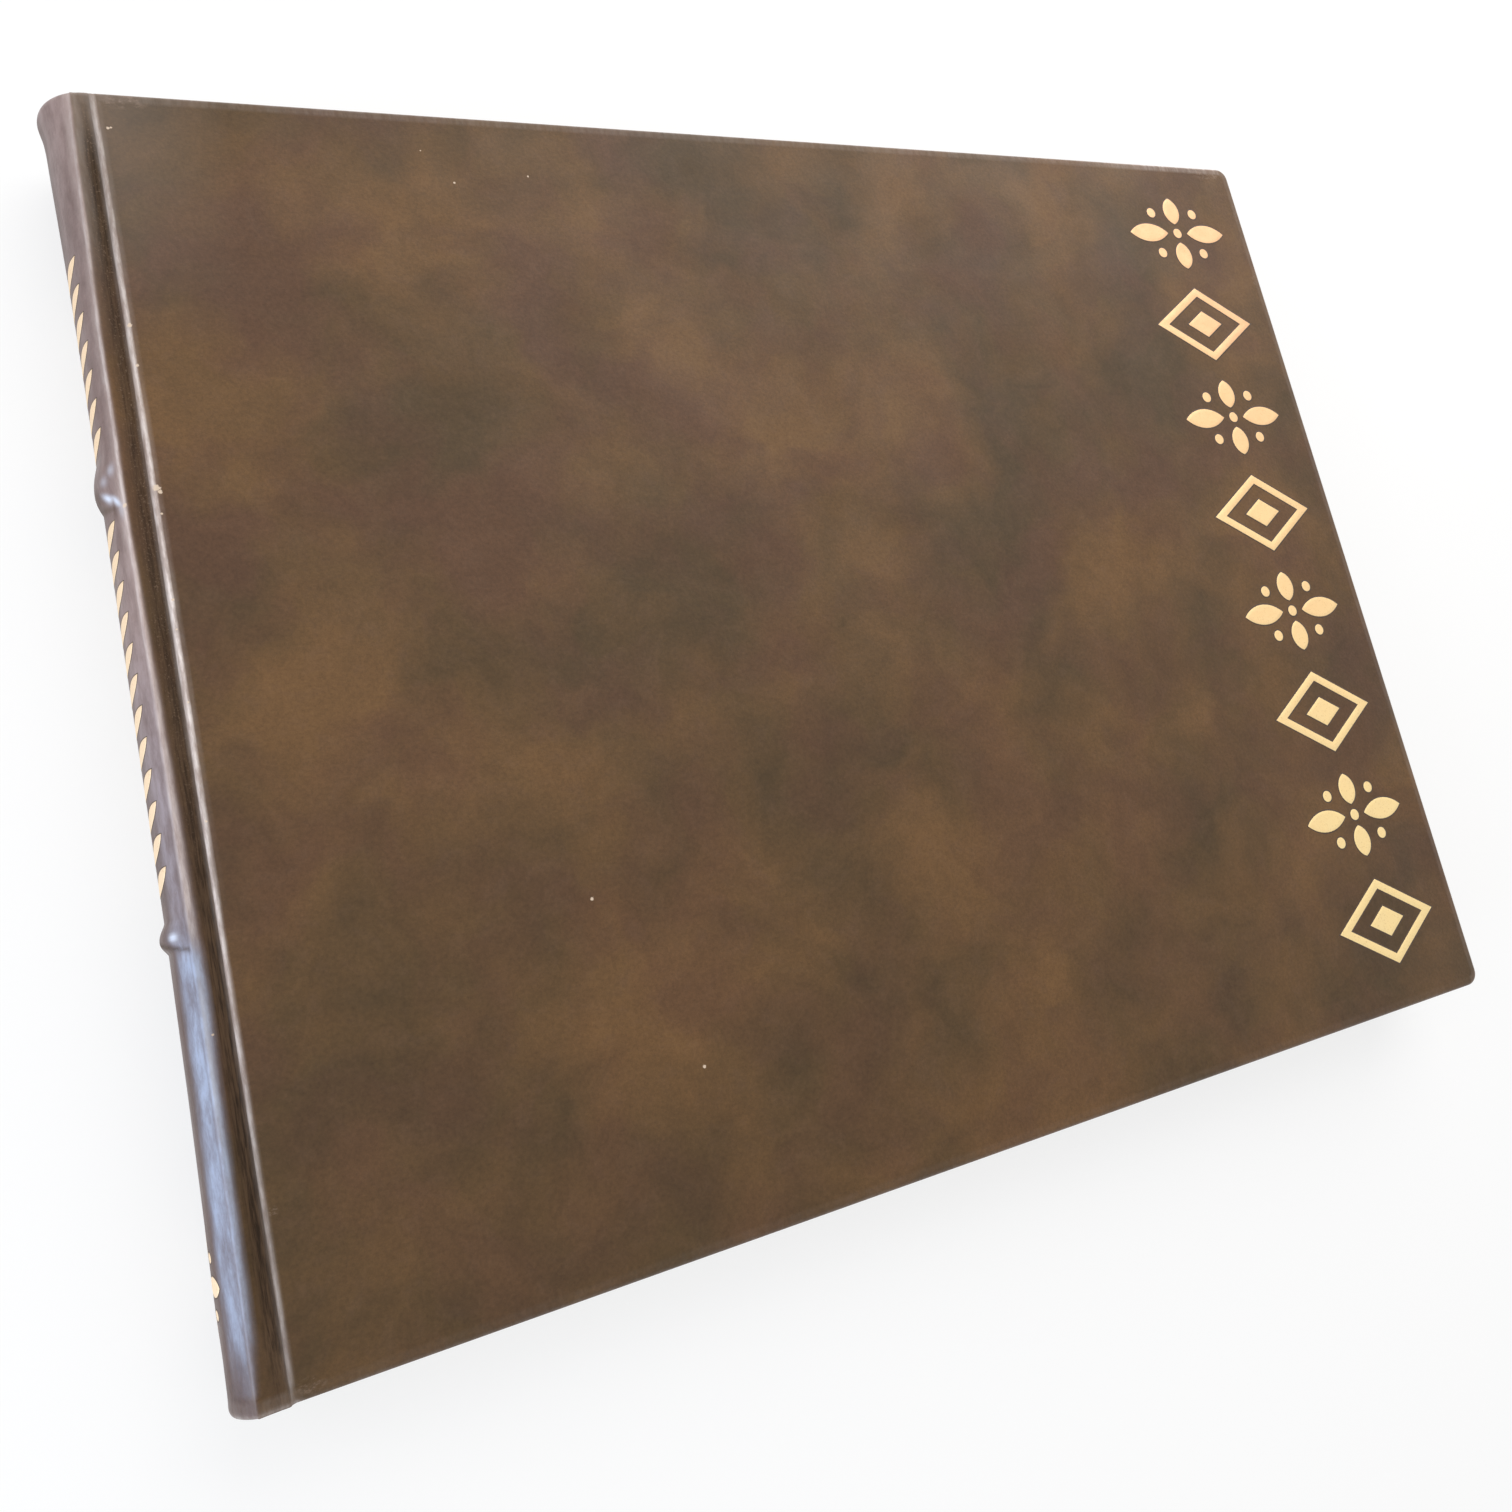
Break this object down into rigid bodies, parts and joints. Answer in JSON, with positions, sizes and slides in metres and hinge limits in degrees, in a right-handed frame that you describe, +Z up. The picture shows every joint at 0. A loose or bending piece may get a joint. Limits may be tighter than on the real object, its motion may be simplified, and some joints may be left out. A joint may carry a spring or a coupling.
{
  "type": "antique leather book",
  "caption": "Landscape hardback book in mottled brown leather with raised bands on a rounded spine, gilded ornament and covers that open.",
  "frame": {"origin": "middle of the book's footprint, on the surface the closed book lies on", "axes": "+X from the spine to the fore edge, +Y from tail to head, +Z up through the closed book"},
  "size_m": [0.301, 0.24, 0.023],
  "materials": {
    "cover_leather": "matt, antiqued and mottled",
    "spine_leather": "slightly polished by handling",
    "gilding": "stamped gold foil, slightly worn",
    "paper": "trimmed page edges",
    "endpaper": "smooth uncoated paper",
    "board": "grey bookbinder's board",
    "lining_card": "manila card",
    "mull": "open-weave starched cotton",
    "silk_band": "wound silk"
  },
  "bodies": {
    "block": {"text_block": "paper", "front_flyleaf": "endpaper", "back_flyleaf": "endpaper", "spine_mull": "mull", "spine_lining": "lining_card", "spine_stiffener": "lining_card", "head_band": "silk_band", "tail_band": "silk_band", "raised_band_upper": "lining_card", "raised_band_lower": "lining_card", "spine_leather": "spine_leather", "spine_gilding": "gilding", "front_joint_leather": "cover_leather", "back_joint_leather": "cover_leather"},
    "front_cover": {"front_board": "board", "front_leather": "cover_leather", "front_mull_flange": "mull", "front_pastedown": "endpaper", "front_gilding": "gilding"},
    "back_cover": {"back_board": "board", "back_leather": "cover_leather", "back_mull_flange": "mull", "back_pastedown": "endpaper"}
  },
  "joints": [
    {"name": "front_cover_hinge", "type": "hinge", "parent": "block", "child": "front_cover", "pos_m": [-0.1451, 0, 0.0204], "axis": [0, -1, 0], "range_deg": [0, 180], "deforming": ["front_joint_leather"]},
    {"name": "back_cover_hinge", "type": "hinge", "parent": "block", "child": "back_cover", "pos_m": [-0.1451, 0, 0.0026], "axis": [0, 1, 0], "range_deg": [0, 180], "deforming": ["back_joint_leather"]}
  ]
}
